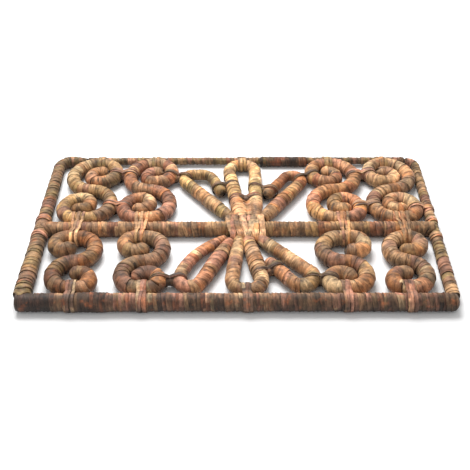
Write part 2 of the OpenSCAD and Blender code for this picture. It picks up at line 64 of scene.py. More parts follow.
# Each side rope: outer face, side, front radius, back radius, corner radius.
LEFT_SIDE = (-374.8, -1, 15.3, 11.5, 26.0)
RIGHT_SIDE = (374.8, 1, 11.8, 8.5, 20.0)
SIDE_FRONT = FRONT_Y + FRONT_R + 0.3
BACK_FACE = 224.8
LEFT_CONE = 30.0

# Each scroll: x of its middle, hand, lean, and for each half the length of its half of the
# spine, the straight run along the bar, the sweep of the inner curl and the sweep of the hook.
UPPER_SCROLLS = [
    (-284, 1, 6, (2, 8, 180, 190), (2, 12, 180, 190)),
    (-171, 1, 6, (2, 6, 180, 190), (2, 10, 180, 190)),
    (190, -1, 6, (4, 8, 180, 180), (4, 12, 180, 190)),
    (303, -1, 14, (6, 2, 180, 190), (8, 3, 180, 190)),
]
LOWER_SCROLLS = [
    (-286, -1, 8, (4, 20, 80, 140), (2, 12, 190, 0)),
    (-165, -1, 6, (3, 16, 220, 0), (3, 12, 230, 0)),
    (189, 1, 4, (4, 22, 190, 0), (4, 12, 230, 0)),
    (300, 1, 18, (4, 3, 200, 0), (4, 6, 190, 0)),
]
UPPER_ROW = (MID_Y + MID_R, BACK_Y - BACK_R)
LOWER_ROW = (FRONT_Y + FRONT_R, MID_Y - MID_R)
UPPER_HOOK, LOWER_HOOK = 17.0, 15.5

# Each petal: the pose it starts from, its moves, and the taper at its two ends.
PETALS = {
    "upper_middle": ((2.3, 50.5, 98.4), [(117.5, 0), (26, -188.7), (118.9, 0)],
                     34, 34),
    "upper_left": ((-31.9, 45.8, 128.2), [(110.7, 0), (17.5, -123), (14, 0), (27, -75), (40, 0)],
                   32, 0),
    "upper_right": ((63.2, 37.5, 56), [(109.8, 0), (18.4, 182.6), (59.8, 0)],
                    14, 0),
    "lower_middle": ((-0.6, -90.3, 263.7), [(61.8, 0), (25.4, 198), (63.3, 0)],
                     40, 38),
    "lower_left": ((-44.1, -60.1, 217.6), [(145, 41.6), (19.6, 166.5), (82.6, 0)],
                   20, 24),
    "lower_right": ((53.3, -54.5, 313.2), [(108, 0), (20.4, -187), (53.3, 0)],
                    22, 0),
}
# How much farther the leaf-bound roots run on under the strips of the flower, at each end.
ROOT_MORE = {
    "upper_middle": (9, 9), "upper_left": (14, 0), "upper_right": (12, 0),
    "lower_middle": (9, 9), "lower_left": (12, 16), "lower_right": (8, 0),
}
# How much farther a petal's free end reaches to lie against the leg beside it.
TIP_MORE = {"upper_left": 1.0, "upper_right": 2.0, "lower_right": 7.0}
# Radius of each petal's rope at five evenly spaced places along it.
PETAL_RADII = {
    "upper_middle": (12.8, 14.2, 10.8, 13.6, 12.8),
    "upper_left": (12.5, 13.6, 12.2, 10.0, 11.8),
    "upper_right": (13.2, 13.4, 12.0, 10.0, 11.5),
    "lower_middle": (12.0, 12.8, 11.5, 14.6, 13.4),
    "lower_left": (10.0, 10.8, 12.0, 13.6, 13.0),
    "lower_right": (11.0, 12.2, 12.5, 12.3, 11.5),
}


def pattern_z(r):
    return r + TIE_T + LIFT


def along(p, m, d):
    """The pose a distance d along move m, which starts at pose p."""
    x, y, h = p
    a = math.radians(h)
    if m[1] == 0:
        return (x + d * math.cos(a), y + d * math.sin(a), h)
    side = 1 if m[1] > 0 else -1
    e = a + side * d / m[0]
    return (
        x + side * m[0] * (math.sin(e) - math.sin(a)),
        y - side * m[0] * (math.cos(e) - math.cos(a)),
        math.degrees(e),
    )


def move_length(m):
    return m[0] if m[1] == 0 else m[0] * math.radians(abs(m[1]))


def pose_after(p, moves):
    for m in moves:
        p = along(p, m, move_length(m))
    return p


class Line:
    """A centre line: straight runs and arcs from a pose, at a height that is a number or a
    list of (distance, height)."""

    def __init__(self, pose, moves, height):
        self.starts, self.moves, self.cuts = [], [m for m in moves if m[0] > 0], [0.0]
        for m in self.moves:
            self.starts.append(pose)
            pose = along(pose, m, move_length(m))
            self.cuts.append(self.cuts[-1] + move_length(m))
        self.length = self.cuts[-1]
        self.height = height

    def at(self, s):
        """x, y, z and heading in radians, for an array of distances."""
        s = np.asarray(s, float)
        x, y, h = np.zeros_like(s), np.zeros_like(s), np.zeros_like(s)
        which = np.clip(np.searchsorted(self.cuts, s, side="right") - 1, 0, len(self.moves) - 1)
        for i, (p, m) in enumerate(zip(self.starts, self.moves)):
            k = which == i
            d = s[k] - self.cuts[i]
            a = math.radians(p[2])
            if m[1] == 0:
                x[k], y[k], h[k] = p[0] + d * math.cos(a), p[1] + d * math.sin(a), a
            else:
                side = 1 if m[1] > 0 else -1
                e = a + side * d / m[0]
                x[k] = p[0] + side * m[0] * (np.sin(e) - math.sin(a))
                y[k] = p[1] - side * m[0] * (np.cos(e) - math.cos(a))
                h[k] = e
        if isinstance(self.height, (int, float)):
            z = np.full_like(s, self.height)
        else:
            z = np.interp(s, [q[0] for q in self.height], [q[1] for q in self.height])
        return x, y, z, h


# ---- Small tools -------------------------------------------------------------------------
def wander(rng, span, step):
    """A smooth random function of distance, about -2 to 2, over 0 to span and a bit beyond."""
    n = int(span / step) + 8
    v = rng.normal(0.0, 1.0, n)

    def f(x):
        t = np.clip(np.asarray(x, float) / step + 3, 0, n - 2 - 1e-6)
        i = np.floor(t).astype(int)
        w = t - i
        w = w * w * (3 - 2 * w)
        return v[i] * (1 - w) + v[i + 1] * w

    return f


def smooth(x, lo, hi):
    t = np.clip((np.asarray(x, float) - lo) / (hi - lo), 0, 1)
    return t * t * (3 - 2 * t)


class Piece:
    """Collects grids of points and makes one mesh of them."""

    def __init__(self):
        self.co, self.quads, self.tris, self.uv = [], [], [], []
        self.leaf, self.lap, self.count = [], [], 0

    def grid(self, co, uv, leaf, lap, wrap, caps=False):
        """co is rows x columns x 3, and columns close on themselves. wrap closes the rows.
        uv is rows x (columns + 1) x 2."""
        rows, cols = co.shape[:2]
        idx = np.arange(rows * cols).reshape(rows, cols) + self.count
        i0 = np.arange(rows if wrap else rows - 1)
        i1 = (i0 + 1) % rows
        j0 = np.arange(cols)
        j1 = (j0 + 1) % cols
        a, b = idx[np.ix_(i0, j0)], idx[np.ix_(i1, j0)]
        c, d = idx[np.ix_(i1, j1)], idx[np.ix_(i0, j1)]
        self.quads.append(np.stack([a, b, c, d], -1).reshape(-1, 4))
        u1 = np.concatenate([uv, uv[-1:] * 2 - uv[-2:-1]], 0) if wrap else uv
        ju = j0 + 1
        self.uv.append(
            np.stack(
                [
                    u1[np.ix_(i0, j0)],
                    u1[np.ix_(i0 + 1, j0)],
                    u1[np.ix_(i0 + 1, ju)],
                    u1[np.ix_(i0, ju)],
                ],
                2,
            ).reshape(-1, 2)
        )
        self.co.append(co.reshape(-1, 3))
        self.leaf.append(leaf.reshape(-1, 3))
        self.lap.append(np.broadcast_to(lap, (rows, cols)).reshape(-1))
        self.count += rows * cols
        if caps:
            for row, flip in ((0, False), (rows - 1, True)):
                centre = co[row].mean(0)
                self.co.append(centre[None])
                self.leaf.append(leaf[row].mean(0)[None])
                self.lap.append(np.array([float(np.mean(lap))]))
                ring = idx[row]
                nxt = np.roll(ring, -1)
                mid = np.full(cols, self.count)
                t = np.stack([mid, nxt, ring] if flip else [mid, ring, nxt], -1)
                self.tris.append(t)
                self.count += 1

    def make(self, name, material, slot, *nodes):
        co = np.concatenate(self.co) * MM
        quads = np.concatenate(self.quads)
        tris = np.concatenate(self.tris) if self.tris else np.zeros((0, 3), int)
        uv = np.concatenate(self.uv + [np.zeros((len(tris) * 3, 2))])
        mesh = bpy.data.meshes.new(name)
        mesh.vertices.add(len(co))
        mesh.vertices.foreach_set("co", co.astype(np.float32).ravel())
        loops = np.concatenate([quads.ravel(), tris.ravel()])
        mesh.loops.add(len(loops))
        mesh.loops.foreach_set("vertex_index", loops.astype(np.int32))
        starts = np.concatenate(
            [np.arange(len(quads)) * 4, len(quads) * 4 + np.arange(len(tris)) * 3]
        )
        mesh.polygons.add(len(starts))
        mesh.polygons.foreach_set("loop_start", starts.astype(np.int32))
        mesh.update(calc_edges=True)
        mesh.polygons.foreach_set("use_smooth", np.ones(len(starts), bool))
        layer = mesh.uv_layers.new(name="strip")
        layer.data.foreach_set("uv", uv.astype(np.float32).ravel())
        leaf = np.concatenate(self.leaf)
        rgba = np.concatenate([leaf, np.ones((len(leaf), 1))], 1)
        mesh.attributes.new("leaf", "FLOAT_COLOR", "POINT").data.foreach_set(
            "color", rgba.astype(np.float32).ravel()
        )
        # The lap attribute carries painted shade: lower at the strips' edges, in the creases
        # between turns and on the strips' undersides.
        mesh.attributes.new("lap", "FLOAT", "POINT").data.foreach_set(
            "value", np.concatenate(self.lap).astype(np.float32)
        )
        mesh.materials.append(material)
        mesh.validate()
        obj = bpy.data.objects.new(name, mesh)
        bpy.context.scene.collection.objects.link(obj)
        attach(obj, BODY)
        if nodes:
            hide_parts(*nodes)


def around(line, s, theta, radius, shift):
    """Points at distance s along a line, at angle theta round it from underneath."""
    x, y, z, h = line.at(s)
    across = np.sin(theta) * radius
    px = x - np.sin(h) * across + np.cos(h) * shift
    py = y + np.cos(h) * across + np.sin(h) * shift
    pz = np.maximum(z - np.cos(theta) * radius, 0.0)
    return np.stack([px, py, pz], -1)


# ---- Colours -----------------------------------------------------------------------------
STRAW = (0.72, 0.51, 0.27)
GOLD = (0.60, 0.35, 0.13)
TAN = (0.52, 0.30, 0.145)
ORANGE = (0.53, 0.19, 0.055)
RUST = (0.36, 0.105, 0.045)
PINK = (0.46, 0.20, 0.13)
UMBER = (0.20, 0.11, 0.055)
OLIVE = (0.28, 0.195, 0.07)
DARK = (0.065, 0.038, 0.028)
STAIN = (0.42, 0.12, 0.04)
MOULD = (0.07, 0.04, 0.022)

PALETTES = {
    "front": [(PINK, 4), (UMBER, 3), (DARK, 4), (RUST, 1), (TAN, 2), (STRAW, 1)],
    "middle": [(TAN, 4), (GOLD, 3), (ORANGE, 2), (UMBER, 2), (PINK, 2), (RUST, 1)],
    "back": [(OLIVE, 4), (UMBER, 3), (TAN, 2), (PINK, 2), (DARK, 1)],
    "side": [(OLIVE, 4), (TAN, 3), (UMBER, 2), (PINK, 2), (ORANGE, 1)],
    "golden": [(GOLD, 4), (TAN, 3), (STRAW, 2), (ORANGE, 2), (OLIVE, 1), (PINK, 1)],
    "orange": [(ORANGE, 4), (TAN, 3), (PINK, 2), (GOLD, 2), (RUST, 1)],
    "pink": [(PINK, 4), (TAN, 3), (ORANGE, 2), (STRAW, 1), (RUST, 1)],
    "tan": [(TAN, 4), (STRAW, 2), (PINK, 2), (ORANGE, 2), (UMBER, 1), (GOLD, 1)],
    "olive": [(OLIVE, 4), (TAN, 3), (GOLD, 2), (UMBER, 2), (ORANGE, 1)],
    "light": [(STRAW, 4), (TAN, 3), (GOLD, 2), (PINK, 1)],
    "splice": [(DARK, 5), (UMBER, 3), (OLIVE, 1), (RUST, 1)],
    "core": [(TAN, 3), (UMBER, 2)],
}


# How far every leaf is drawn toward the mean colour of its rope, how much leaves differ in
# lightness, and how many turns a leaf lasts.
EVEN, LIGHT_SPREAD = 0.34, 0.21
LEAF_RUN = (0.9, 3.4)
# How far a leaf fades to its second colour, how much that varies, and over how many turns.
FADE, FADE_SPREAD, FADE_STEP = 0.45, 0.35, 0.45
# How far a patch hides the leaves, and how far its edge spreads outside and inside it.
PATCH_COVER, PATCH_OUT, PATCH_IN = 0.85, 4, 2


def leaf_colours(rng, turn, palette, patches=(), at=None, run=LEAF_RUN, tone=1.0):
    """The colour of a strip along its length: a new leaf starts after a run of so many turns,
    and each leaf fades from one colour to another. patches are (from, to, colour) along the
    rope, and tone darkens or lightens all of it."""
    tones = np.array([c for c, _ in PALETTES[palette]])
    share = np.array([w for _, w in PALETTES[palette]], float)
    share /= share.sum()
    last = float(np.max(turn)) + 1
    cuts = [-1.0]
    while cuts[-1] < last:
        cuts.append(cuts[-1] + rng.uniform(*run))
    n = len(cuts)
    one, two = (tones[rng.choice(len(tones), n, p=share)] for _ in range(2))
    light = np.exp(rng.normal(0, LIGHT_SPREAD, (n, 1)))
    k = np.clip(np.searchsorted(cuts, turn, side="right") - 1, 0, n - 1)
    fade = FADE + FADE_SPREAD * wander(rng, last + 2, FADE_STEP)(turn + 1)
    fade = np.clip(fade, 0, 1)[..., None]
    colour = one[k] * (1 - fade) + two[k] * fade
    colour = (colour * (1 - EVEN) + (share @ tones) * EVEN) * light[k]
    for lo, hi, patch in patches:
        inside = smooth(at, lo - PATCH_OUT, lo + PATCH_IN)
        inside = inside * (1 - smooth(at, hi - PATCH_IN, hi + PATCH_OUT))
        w = PATCH_COVER * inside[..., None]
        colour = colour * (1 - w) + np.array(patch) * light[k] * w
    return colour * tone


# ---- Ropes -------------------------------------------------------------------------------
TURN_STEPS = 36
# Across a strip: place, height of its upper face in mm, and shade.
FACE = [(0.0, -0.42, 0.55), (0.035, 0.0, 1.0), (0.14, 0.12, 1.0), (0.34, 0.06, 0.9),
        (0.58, 0.05, 0.8), (0.82, 0.0, 0.6), (1.0, -0.1, 0.25)]
BACK = [(0.9, -0.7, 0.2), (0.12, -0.75, 0.2)]
# How much the widths of the turns vary, and the least and most, as shares of the pitch.
WIDTH_SPREAD, WIDTH_LIMITS = 0.28, (0.55, 1.7)
# Half of a strip, as a share of its turn's width: above a half, so the turns lap.
HALF_STRIP = 0.69
# How far the near edge of a strip, which laps the turn before, stands out, and how much lower
# its far edge lies, under the next turn. Both are for a lie of 1, on top of the skin.
LIE_TOP, LIE_SLOPE, SKIN = 0.2, 1.55, 0.25
# How a strip drifts as it is wound: each is an amount, and the turns over which it changes.
# The first is a share of the pitch and the next two are shares of the width.
SWAY, NEAR_EDGE, FAR_EDGE = (0.10, 0.31), (0.05, 0.17), (0.04, 0.23)
PUFF, CREASE, EDGE_SHADE = (0.30, 0.55), (0.16, 0.13), (0.18, 0.12)
# The folds across a strip: radians of their wave, its shift, its height, and the share of that
# height at a place, with its drift and its most.
FOLD_WAVE, FOLD_SHIFT, FOLD_HEIGHT = 13.2, (2.2, 0.8), 0.30
FOLD_SHARE, FOLD_DRIFT, FOLD_MOST = 0.6, (0.5, 1.3), 1.4
# How far the ends of a binding stand back from the ends of its rope.
INSET, STRIP_END = 0.5, 0.6
# Where the painted side shade and light of a rope begin and end across it, as shares of its radius.
SIDE_SHADE_FROM, SIDE_SHADE_TO = -0.35, 0.75
# The length over which an end is drawn out to meet its neighbour.
REACH_FADE = 16


class Rope:
    """A line with a radius along it and a shape at each end. radius is a number or a list of
    (distance, radius). ends are ("round", edge) or ("butt", saddle), where saddle is None or a
    function of height that says how far the end reaches out to meet its neighbour."""

    def __init__(self, line, radius, start, end):
        self.line, self.radius, self.ends = line, radius, (start, end)
        self.length = line.length

    def size(self, s):
        if isinstance(self.radius, (int, float)):
            r = np.full_like(np.asarray(s, float), self.radius)
        else:
            r = np.interp(s, [q[0] for q in self.radius], [q[1] for q in self.radius])
        for side, (kind, what) in enumerate(self.ends):
            if kind == "round":
                t = np.clip(s if side == 0 else self.length - s, 0, what)
                r = r - what + np.sqrt(np.maximum(what**2 - (what - t) ** 2, 0.0))
        return r

    def reach(self, s, theta, radius):
        """How far the ends are drawn out to lie against a neighbouring rope."""
        out = np.zeros(np.broadcast(s, theta).shape)
        for side, (kind, what) in enumerate(self.ends):
            if kind == "butt" and what is not None:
                t = s if side == 0 else self.length - s
                w = 1 - smooth(t, 0, REACH_FADE)
                z = self.line.at(s)[2] - np.cos(theta) * radius
                out = out + (-1 if side == 0 else 1) * w * what(z)
        return out

    def place(self, s, theta, radius):
        return around(self.line, s, theta, radius, self.reach(s, theta, radius))


def turn_widths(rng, length, pitch):
    widths = [pitch]
    while sum(widths) < length + 2 * pitch:
        share = float(np.clip(np.exp(rng.normal(0, WIDTH_SPREAD)), *WIDTH_LIMITS))
        widths.append(pitch * share)
    return widths


def wound(name, rope, palette, seed, pitch, nodes, slot, material,
          patches=(), lie=0.9, run=LEAF_RUN, tone=1.0, wear=(1.0, 1.0)):
    """The binding: one long strip of leaf wound round a rope, each turn over the last. The two side
    factors are painted shade and light: how much darker or paler the side to the right of the rope
    and the side to its left are drawn."""
    rng = np.random.default_rng(seed)
    widths = turn_widths(rng, rope.length, pitch)
    knots = np.concatenate([[0], np.cumsum(widths)]) - pitch
    count = np.arange(len(knots))
    first = np.interp(INSET, knots, count)
    final = np.interp(rope.length - INSET, knots, count)
    rows = int((final - first) * TURN_STEPS)
    turn = np.linspace(first, final, rows)
    theta = (turn * 2 * math.pi) % (2 * math.pi)

    def drift(amount, step):
        return amount * wander(rng, final + 2, step)(turn)

    middle = np.interp(turn, count, knots)
    width = np.interp(turn, count + 0.5, np.append(widths, pitch)[: len(knots)])
    sway = pitch * drift(*SWAY)
    low = middle + sway - width * (HALF_STRIP + drift(*NEAR_EDGE))
    high = middle + sway + width * (HALF_STRIP + drift(*FAR_EDGE))
    low = np.clip(low, 0, rope.length - STRIP_END)
    high = np.maximum(np.clip(high, STRIP_END, rope.length), low + 0.4)
    puff = drift(*PUFF) + drift(*CREASE)
    fold = drift(*FOLD_SHIFT)
    ridge = FOLD_HEIGHT * np.clip(FOLD_SHARE + drift(*FOLD_DRIFT), 0, FOLD_MOST)
    colour = leaf_colours(rng, turn, palette, patches, middle, run, tone)
    # Painted shade and light: the first side factor darkens or lightens the side to the right of
    # the rope, and the second factor the side to its left.
    left_side_share = smooth(np.sin(theta), SIDE_SHADE_FROM, SIDE_SHADE_TO)
    colour = colour * (wear[0] + (wear[1] - wear[0]) * left_side_share)[:, None]
    edge_shade = drift(*EDGE_SHADE)
    thickest = max(rope.size(middle).max(), 1)
    co, shade = [], []
    for place, height, face_shade in FACE + BACK:
        s = low + (high - low) * place
        size = rope.size(s)
        # Folds run along the upper face, except at its far edge.
        wave = ridge * np.sin(FOLD_WAVE * place + fold) if face_shade > 0.3 else 0.0
        rise = (LIE_TOP - LIE_SLOPE * place) * lie + height + SKIN
        squeeze = np.clip(size / thickest, 0.15, 1)
        r = size + squeeze * (rise + wave + puff * (1 - 0.4 * place))
        co.append(rope.place(s, theta, np.maximum(r, 0.2)))
        edge = edge_shade if 0 < place < 0.2 else 0
        shade.append(np.broadcast_to(np.clip(face_shade + edge, 0, 1.2), (rows,)))
    co, shade = np.stack(co, 1), np.stack(shade, 1)
    leaf = np.repeat(colour[:, None], len(FACE + BACK), 1)
    distance = turn * 2 * math.pi * rope.size(middle).mean() / CM
    places = [f[0] for f in FACE + BACK] + [FACE[0][0]]
    uv = np.stack([np.broadcast_to(distance[:, None], (rows, len(places))),
                   np.array(places)[None] * width[:, None] / CM], -1)
    p = Piece()
    p.grid(co[:, ::-1], uv[:, ::-1], leaf[:, ::-1], shade[:, ::-1], False, caps=True)
    p.make(name, material, slot, *nodes)


# How far the bundle's surface lies inside a rope's, its least radius, its sides, the length
# between its rings, and where the rings of each end are.
CORE_DEPTH, CORE_LEAST, CORE_SIDES, CORE_STEP = 2.9, 0.6, 20, 4.5
CORE_END = np.array([0.4, 0.8, 1.5, 2.6, 4.2])
# Its lumps: their height, their length, the height of its ribs, and the least radius of a rope
# that has them.
LUMP, LUMP_STEP, RIB, LUMPY_FROM = 0.25, 9, 0.2, 5
# How many turns of a strip each radian round it counts for, when its colours are picked.
CORE_TURNS = 2.2


def core(name, rope, seed, nodes, material):
    """The bundle of fibre inside a rope, which shows only where a binding ends."""
    rng = np.random.default_rng(seed)
    n = max(int(rope.length / CORE_STEP), 4)
    between = np.linspace(6, rope.length - 6, n)
    s = np.concatenate([CORE_END, between, rope.length - CORE_END[::-1]])
    theta = np.arange(CORE_SIDES) / CORE_SIDES * 2 * math.pi
    ss, tt = np.meshgrid(s, theta, indexing="ij")
    lumps = LUMP * wander(rng, rope.length, LUMP_STEP)(ss)
    lumps = lumps + RIB * rng.normal(0, 1, CORE_SIDES)[None]
    size = rope.size(ss)
    r = np.maximum(size - CORE_DEPTH, CORE_LEAST) + lumps * (size > LUMPY_FROM)
    co = rope.place(ss, tt, r)
    leaf = leaf_colours(rng, tt * CORE_TURNS, "core", tone=0.6)
    shape = (len(s), CORE_SIDES + 1)
    uv = np.stack([np.broadcast_to(s[:, None], shape) / CM,
                   np.broadcast_to(np.arange(CORE_SIDES + 1)[None] * 0.35, shape)], -1)
    p = Piece()
    p.grid(co, uv, leaf, 0.7, False, caps=True)
    p.make(name, material, "core_fibre", *nodes)


# ---- Lashings ----------------------------------------------------------------------------
# How far a strip sinks into the hollow between the ropes that it ties, as a share of its depth.
DIP = 0.8
# The turns round the waist of a lashing: their radius, how much wider than the clear space
# they spread, their thickness and their tilt.
KNOT_R, KNOT_SPREAD, KNOT_T, KNOT_TILT = 6.5, 3.0, 1.3, 0.6
# How much one turn of a strip wanders sideways, swells, frays, thickens and stands off, in
# that order. The first and the last are in mm.
WANDER, SWELL, FRAY, THICKEN, STAND_OFF = 0.35, 0.12, 0.05, 0.15, 0.25
# A strip's thickness, how far it is lifted clear of the ropes, and how much higher every other
# turn of a lashing lies, since it crosses the turns beside it.
STRIP_T, STRIP_LIFT, CROSS_LIFT = 1.2, 0.2, 0.35
# Points round a turn of a strip, and round the line that it is drawn from.
TURN_POINTS, FINE_POINTS = 96, 720


def spacing(pts, n):
    """Distances along a closed line: those of its own points, and those of n even ones."""
    loop = np.concatenate([pts, pts[:1]])
    d = np.concatenate([[0], np.cumsum(np.linalg.norm(np.diff(loop, axis=0), axis=1))])
    return d, np.arange(n) / n * d[-1]


def sampled(values, d, t):
    closed = np.concatenate([values, values[:1]])
    return np.stack([np.interp(t, d, closed[:, i]) for i in (0, 1)], -1)


def outline(circles, grow):
    """The line of a strip drawn tight round ropes that are cut across, and its length: each
    rope is (across, height, radius). Its points are evenly spaced."""
    a = np.arange(FINE_POINTS) / FINE_POINTS * 2 * math.pi
    u = np.stack([np.cos(a), np.sin(a)], -1)
    c = np.array(circles, float)
    k = np.argmax(u @ c[:, :2].T + c[:, 2], 1)
    pts = c[k, :2] + u * (c[k, 2] + grow)[:, None]
    d, t = spacing(pts, FINE_POINTS)
    pts, u = sampled(pts, d, t), sampled(u, d, t)
    u /= np.linalg.norm(u, axis=1, keepdims=True)
    hollow = (np.linalg.norm(pts[:, None] - c[:, :2], axis=2) - c[:, 2]).min(1) - grow
    pts = pts - u * (DIP * np.maximum(hollow, 0))[:, None]
    d, t = spacing(pts, TURN_POINTS)
    return sampled(pts, d, t), d[-1]


# The section of a strip: a flat round of ten points.
STRIP_SECTION = [(math.cos(a), math.copysign(abs(math.sin(a)) ** 0.75, math.sin(a)))
                 for a in np.arange(10) / 10 * 2 * math.pi]


def belt(piece, rng, at, heading, circles, offset, tilt, phase, width, thick, lift, palette):
    """One turn of a lashing, at an offset along the heading, tilted so that turns cross."""
    pts, length = outline(circles, lift + thick / 2)
    n = len(pts)
    step = np.roll(pts, -1, 0) - np.roll(pts, 1, 0)
    step /= np.linalg.norm(step, axis=1, keepdims=True)
    out = np.stack([step[:, 1], -step[:, 0]], -1)
    t = np.arange(n) / n * 2 * math.pi
    along_it = offset + tilt * np.sin(t + phase) + WANDER * np.sin(3 * t + phase * 2)
    swell = SWELL * np.sin(2 * t + rng.uniform(0, 6))
    w = width / 2 * (1 + swell + FRAY * rng.normal(0, 1, n))
    h = thick / 2 * (1 + THICKEN * np.sin(4 * t + rng.uniform(0, 6)))
    rise = STAND_OFF * (np.sin(2 * t + rng.uniform(0, 6)) + 1)
    a = math.radians(heading)
    sides = len(STRIP_SECTION)
    co, shade = np.zeros((n, sides, 3)), np.zeros((n, sides))
    for j, (e, f) in enumerate(STRIP_SECTION):
        q = pts + out * (rise + f * h)[:, None]
        lon = along_it + e * w
        co[:, j, 0] = at[0] + lon * math.cos(a) - q[:, 0] * math.sin(a)
        co[:, j, 1] = at[1] + lon * math.sin(a) + q[:, 0] * math.cos(a)
        co[:, j, 2] = np.maximum(q[:, 1], 0.0)
        shade[:, j] = 0.55 + 0.45 * max(f, 0)
    colour = leaf_colours(rng, t / 2, palette)[:, None].repeat(sides, 1)
    shape = (n, sides + 1)
    round_it = np.arange(sides + 1) / sides * 2 * width / CM
    uv = np.stack([np.broadcast_to((t / 2 / math.pi * length / CM)[:, None], shape),
                   np.broadcast_to(round_it[None], shape)], -1)
    piece.grid(co, uv, colour, shade, True)


def lashing(piece, rng, at, heading, circles, turns, span, palette, tilt=2.0):
    """Several turns side by side, some of which cross."""
    gap = span / turns
    for i in range(turns):
        off = (i + 0.5) * gap - span / 2 + rng.normal(0, 0.4)
        sway = tilt * (1 if i % 2 else -1) * rng.uniform(0.5, 1.1)
        belt(piece, rng, at, heading, circles, offset=off, tilt=sway,
             phase=rng.uniform(-0.5, 0.5) + math.pi / 2, width=gap * rng.uniform(1.15, 1.4),
             thick=STRIP_T, lift=STRIP_LIFT + CROSS_LIFT * (i % 2), palette=palette)


# ---- Where the ropes touch ---------------------------------------------------------------
def half_height(row):
    return (row[1] - row[0]) / 2


def outer_curl(row, r, lean, spine):
    a = math.radians(lean)
    return (half_height(row) - r - GAP - spine * math.sin(a)) / (1 + math.cos(a))


def inner_curl(row, r):
    return (half_height(row) - 3 * r - 2 * GAP) / 2


def half_moves(row, r, hook, lean, half):
    moves = [(outer_curl(row, r, lean, half[0]), lean - 180), (half[1], 0),
             (inner_curl(row, r), -half[2])]
    return moves + ([(hook, -half[3])] if half[3] else [])


def spine_end(lean, spine):
    a = math.radians(lean)
    return (-spine * math.cos(a), spine * math.sin(a), 180 - lean)


def scroll_line(s, row, r, hook):
    """The whole of a scroll from the heart of its lower half to the heart of its upper half."""
    x, hand, lean, upper, lower = s
    tail = half_moves(row, r, hook, lean, lower)
    head = half_moves(row, r, hook, lean, upper)
    end = pose_after(spine_end(lean, lower[0]), tail)
    # The lower half is the same shape turned by 180 degrees and run backwards.
    # Both hearts end in a half ball, so the line is carried straight on by its radius.
    start = along((-end[0], -end[1], end[2]), (r, 0), -r)
    moves = [(r, 0)] + [(m[0], -m[1]) for m in reversed(tail)]
    moves += [(upper[0] + lower[0], 0)] + head + [(r, 0)]
    mid = (row[0] + row[1]) / 2
    if hand < 0:
        start = (-start[0], start[1], 180 - start[2])
        moves = [(m[0], -m[1]) for m in moves]
    return Line((start[0] + x, start[1] + mid, start[2]), moves, pattern_z(r))


def contact_x(s, row, r, side):
    half = s[3] if side > 0 else s[4]
    p = along(spine_end(s[2], half[0]), (outer_curl(row, r, s[2], half[0]), s[2] - 180),
              outer_curl(row, r, s[2], half[0]) * math.radians(180 - s[2]))
    return s[0] + s[1] * side * (p[0] + half[1] / 2)


def placed(s, row, side, p):
    return (s[0] + s[1] * side * p[0], (row[0] + row[1]) / 2 + side * p[1])


def outer_circle(s, row, r, side):
    half = s[3] if side > 0 else s[4]
    a, curl = math.radians(s[2]), outer_curl(row, r, s[2], half[0])
    c = placed(s, row, side, (curl * math.sin(a) - half[0] * math.cos(a),
                              curl * math.cos(a) + half[0] * math.sin(a)))
    return (*c, curl, r)


def inner_circle(s, row, r, side):
    half = s[3] if side > 0 else s[4]
    x = s[1] * side * (contact_x(s, row, r, side) - s[0]) + half[1] / 2
    return (*placed(s, row, side, (x, half_height(row) - r - GAP - inner_curl(row, r))),
            inner_curl(row, r), r)


def petal_circle(q, n):
    p = pose_after(q[0], q[1][:n])
    m, side = q[1][n], 1 if q[1][n][1] > 0 else -1
    a = math.radians(p[2])
    return (p[0] - side * m[0] * math.sin(a), p[1] + side * m[0] * math.cos(a), m[0], PETAL_R)


def petal_contact(q):
    return petal_circle(q, 1)[0]


def rope_circle(across, r, room=0.1):
    return (across, pattern_z(r), r + room)


def knot(piece, rng, at, heading, z, clear, palette):
    """Three turns round the waist of a lashing that pull it tight, spread over the clear space
    between its two ropes. heading is that of the lashing, so the turns stand across it."""
    circles = [(KNOT_R / 4, z, KNOT_R), (-KNOT_R / 4, z, KNOT_R)]
    reach = (max(clear, 0) + KNOT_SPREAD) / 2
    for off in (-reach, 0, reach):
        belt(piece, rng, at, heading + 90, circles, offset=off, tilt=KNOT_TILT, phase=off,
             width=reach * 1.3 + 2, thick=KNOT_T, lift=STRIP_LIFT, palette=palette)


def curl_lashing(piece, rng, a, b, **how):
    """Ties two curls where they come nearest. Each is the centre of its arc, the arc's radius
    and the rope's."""
    dx, dy = b[0] - a[0], b[1] - a[1]
    d = math.hypot(dx, dy)
    heading = math.degrees(math.atan2(dy, dx)) - 90
    apart = d - a[2] - b[2]

    def between(at):
        return a[0] + dx * at / d, a[1] + dy * at / d

    knot(piece, rng, between(a[2] + apart / 2), heading, pattern_z(min(a[3], b[3])),
         apart - a[3] - b[3], how["palette"])
    lashing(piece, rng, between(a[2]), heading,
            [rope_circle(0, a[3]), rope_circle(apart, b[3])], **how)


def leg_lashing(piece, rng, p, leg, sunk=0.0, **how):
    """Ties one leg, at pose p, to the straight leg that starts at pose leg. A sunk lashing
    comes out from between the two."""
    slant = (((leg[2] - p[2] + 90) % 180) - 90) / 2
    heading = p[2] + slant
    a, b = math.radians(leg[2]), math.radians(heading)
    ax, left = (math.cos(a), math.sin(a)), (-math.sin(b), math.cos(b))
    gx, gy = leg[0] - p[0], leg[1] - p[1]
    across = (gx * ax[1] - gy * ax[0]) / (left[0] * ax[1] - left[1] * ax[0])
    inner, z = math.copysign(sunk, across), pattern_z(PETAL_R)
    if not sunk:
        knot(piece, rng, (p[0] + left[0] * across / 2, p[1] + left[1] * across / 2), heading,
             z, abs(across) - 2 * PETAL_R, how["palette"])
    circles = [(inner, z, PETAL_R - sunk), (across - inner, z, PETAL_R - sunk)]
    lashing(piece, rng, p, heading, circles, **how)


def side_r(s, y):
    back = BACK_FACE - s[3] - s[4]
    return s[2] + (s[3] - s[2]) * (y - SIDE_FRONT) / (back - SIDE_FRONT)


